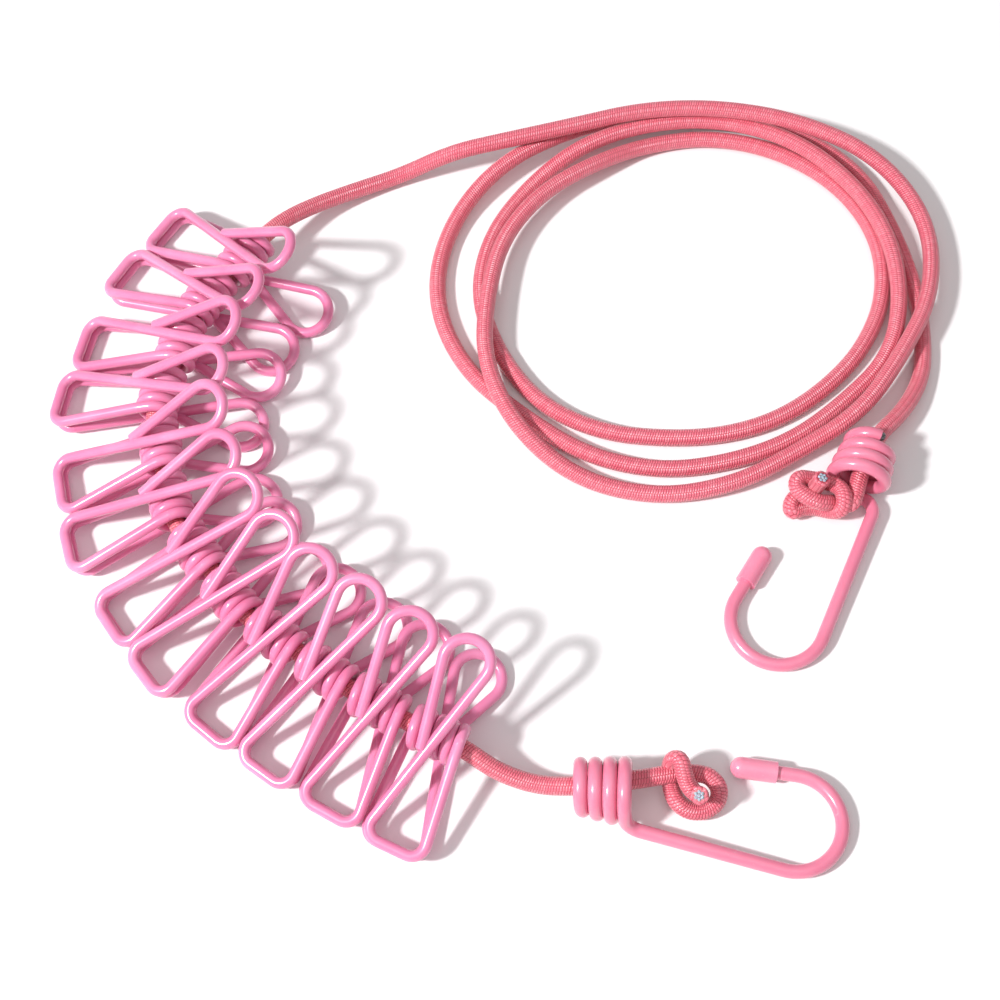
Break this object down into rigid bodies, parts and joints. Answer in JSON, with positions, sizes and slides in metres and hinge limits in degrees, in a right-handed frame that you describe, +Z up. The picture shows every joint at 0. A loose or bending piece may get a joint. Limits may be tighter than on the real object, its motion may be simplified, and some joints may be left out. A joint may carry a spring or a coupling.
{
  "type": "retractable clothesline",
  "caption": "Stretch travel clothesline lying loosely coiled: braided elastic rope with captive sprung wire pegs threaded on it and a turning wire hook knotted on each end.",
  "frame": {"origin": "on the surface the clothesline lies on, under the middle of its pegs and hooks", "axes": "+Z up off the surface; the row of pegs bows towards -X, the two hooks lie at +X, hook 1 nearer -Y than hook 2"},
  "size_m": [0.2687, 0.2568, 0.0375],
  "materials": {
    "braid": "matte",
    "rubber_strands": "matte",
    "peg_wire": "gloss",
    "hook_wire": "gloss",
    "cap": "gloss",
    "bare_steel": "satin"
  },
  "bodies": {
    "line": {"rope_peg_run": "braid", "rope_tail_run": "braid", "rope_coil": "braid", "knot_1": "braid", "knot_1_rubber_core": "rubber_strands", "knot_2": "braid", "knot_2_rubber_core": "rubber_strands", "peg_01_coil": "peg_wire", "peg_01_upper_arm": "peg_wire", "peg_02_coil": "peg_wire", "peg_02_lower_arm": "peg_wire", "peg_03_coil": "peg_wire", "peg_03_upper_arm": "peg_wire", "peg_04_coil": "peg_wire", "peg_04_lower_arm": "peg_wire", "peg_05_coil": "peg_wire", "peg_05_upper_arm": "peg_wire", "peg_06_coil": "peg_wire", "peg_06_lower_arm": "peg_wire", "peg_07_coil": "peg_wire", "peg_07_upper_arm": "peg_wire", "peg_08_coil": "peg_wire", "peg_08_lower_arm": "peg_wire", "peg_09_coil": "peg_wire", "peg_09_upper_arm": "peg_wire", "peg_10_coil": "peg_wire", "peg_10_lower_arm": "peg_wire", "peg_11_coil": "peg_wire", "peg_11_upper_arm": "peg_wire", "peg_12_coil": "peg_wire", "peg_12_lower_arm": "peg_wire"},
    "peg_01_jaw": {"peg_01_lower_arm": "peg_wire"},
    "peg_02_jaw": {"peg_02_upper_arm": "peg_wire"},
    "peg_03_jaw": {"peg_03_lower_arm": "peg_wire"},
    "peg_04_jaw": {"peg_04_upper_arm": "peg_wire"},
    "peg_05_jaw": {"peg_05_lower_arm": "peg_wire"},
    "peg_06_jaw": {"peg_06_upper_arm": "peg_wire"},
    "peg_07_jaw": {"peg_07_lower_arm": "peg_wire"},
    "peg_08_jaw": {"peg_08_upper_arm": "peg_wire"},
    "peg_09_jaw": {"peg_09_lower_arm": "peg_wire"},
    "peg_10_jaw": {"peg_10_upper_arm": "peg_wire"},
    "peg_11_jaw": {"peg_11_lower_arm": "peg_wire"},
    "peg_12_jaw": {"peg_12_upper_arm": "peg_wire"},
    "hook_1": {"hook_1_wire": "hook_wire", "hook_1_steel_end": "bare_steel", "hook_1_cap": "cap"},
    "hook_2": {"hook_2_wire": "hook_wire", "hook_2_steel_end": "bare_steel", "hook_2_cap": "cap"}
  },
  "joints": [
    {"name": "peg_01_opens", "type": "hinge", "parent": "line", "child": "peg_01_jaw", "pos_m": [-0.06817, 0.08288, 0.0122], "axis": [-0.547, -0.8367, -0.0269], "range_deg": [0, 26], "stiffness_Nm_per_rad": 0.15, "springref_deg": -28.65},
    {"name": "peg_02_opens", "type": "hinge", "parent": "line", "child": "peg_02_jaw", "pos_m": [-0.07827, 0.06868, 0.0123], "axis": [0.4936, 0.8692, -0.0271], "range_deg": [0, 26], "stiffness_Nm_per_rad": 0.15, "springref_deg": -28.65},
    {"name": "peg_03_opens", "type": "hinge", "parent": "line", "child": "peg_03_jaw", "pos_m": [-0.08497, 0.05248, 0.0126], "axis": [-0.2033, -0.9791, 0.0017], "range_deg": [0, 26], "stiffness_Nm_per_rad": 0.15, "springref_deg": -28.65},
    {"name": "peg_04_opens", "type": "hinge", "parent": "line", "child": "peg_04_jaw", "pos_m": [-0.08927, 0.03538, 0.0121], "axis": [0.1385, 0.9885, -0.0609], "range_deg": [0, 26], "stiffness_Nm_per_rad": 0.15, "springref_deg": -28.65},
    {"name": "peg_05_opens", "type": "hinge", "parent": "line", "child": "peg_05_jaw", "pos_m": [-0.08787, 0.01758, 0.0129], "axis": [0.232, -0.9726, 0.0167], "range_deg": [0, 26], "stiffness_Nm_per_rad": 0.15, "springref_deg": -28.65},
    {"name": "peg_06_opens", "type": "hinge", "parent": "line", "child": "peg_06_jaw", "pos_m": [-0.08397, 0.00048, 0.0122], "axis": [-0.2949, 0.9529, -0.0711], "range_deg": [0, 26], "stiffness_Nm_per_rad": 0.15, "springref_deg": -28.65},
    {"name": "peg_07_opens", "type": "hinge", "parent": "line", "child": "peg_07_jaw", "pos_m": [-0.07537, -0.01492, 0.0124], "axis": [0.5707, -0.8211, 0], "range_deg": [0, 26], "stiffness_Nm_per_rad": 0.15, "springref_deg": -28.65},
    {"name": "peg_08_opens", "type": "hinge", "parent": "line", "child": "peg_08_jaw", "pos_m": [-0.06507, -0.02912, 0.0125], "axis": [-0.6121, 0.7891, -0.0509], "range_deg": [0, 26], "stiffness_Nm_per_rad": 0.15, "springref_deg": -28.65},
    {"name": "peg_09_opens", "type": "hinge", "parent": "line", "child": "peg_09_jaw", "pos_m": [-0.05237, -0.04062, 0.0124], "axis": [0.7684, -0.6399, -0.0067], "range_deg": [0, 26], "stiffness_Nm_per_rad": 0.15, "springref_deg": -28.65},
    {"name": "peg_10_opens", "type": "hinge", "parent": "line", "child": "peg_10_jaw", "pos_m": [-0.03817, -0.05102, 0.0123], "axis": [-0.8044, 0.5923, -0.0456], "range_deg": [0, 26], "stiffness_Nm_per_rad": 0.15, "springref_deg": -28.65},
    {"name": "peg_11_opens", "type": "hinge", "parent": "line", "child": "peg_11_jaw", "pos_m": [-0.02367, -0.06042, 0.0125], "axis": [0.8726, -0.4878, -0.0235], "range_deg": [0, 26], "stiffness_Nm_per_rad": 0.15, "springref_deg": -28.65},
    {"name": "peg_12_opens", "type": "hinge", "parent": "line", "child": "peg_12_jaw", "pos_m": [-0.00787, -0.06942, 0.0127], "axis": [-0.9029, 0.4297, 0.0101], "range_deg": [0, 26], "stiffness_Nm_per_rad": 0.15, "springref_deg": -28.65},
    {"name": "hook_1_turns", "type": "hinge", "parent": "line", "child": "hook_1", "pos_m": [0.03003, -0.08202, 0.0085], "axis": [0.9869, -0.1457, 0.0698], "range_deg": [-60, 60]},
    {"name": "hook_2_turns", "type": "hinge", "parent": "line", "child": "hook_2", "pos_m": [0.11563, 0.02008, 0.0097], "axis": [-0.3697, -0.9291, 0], "range_deg": [-60, 60]}
  ]
}
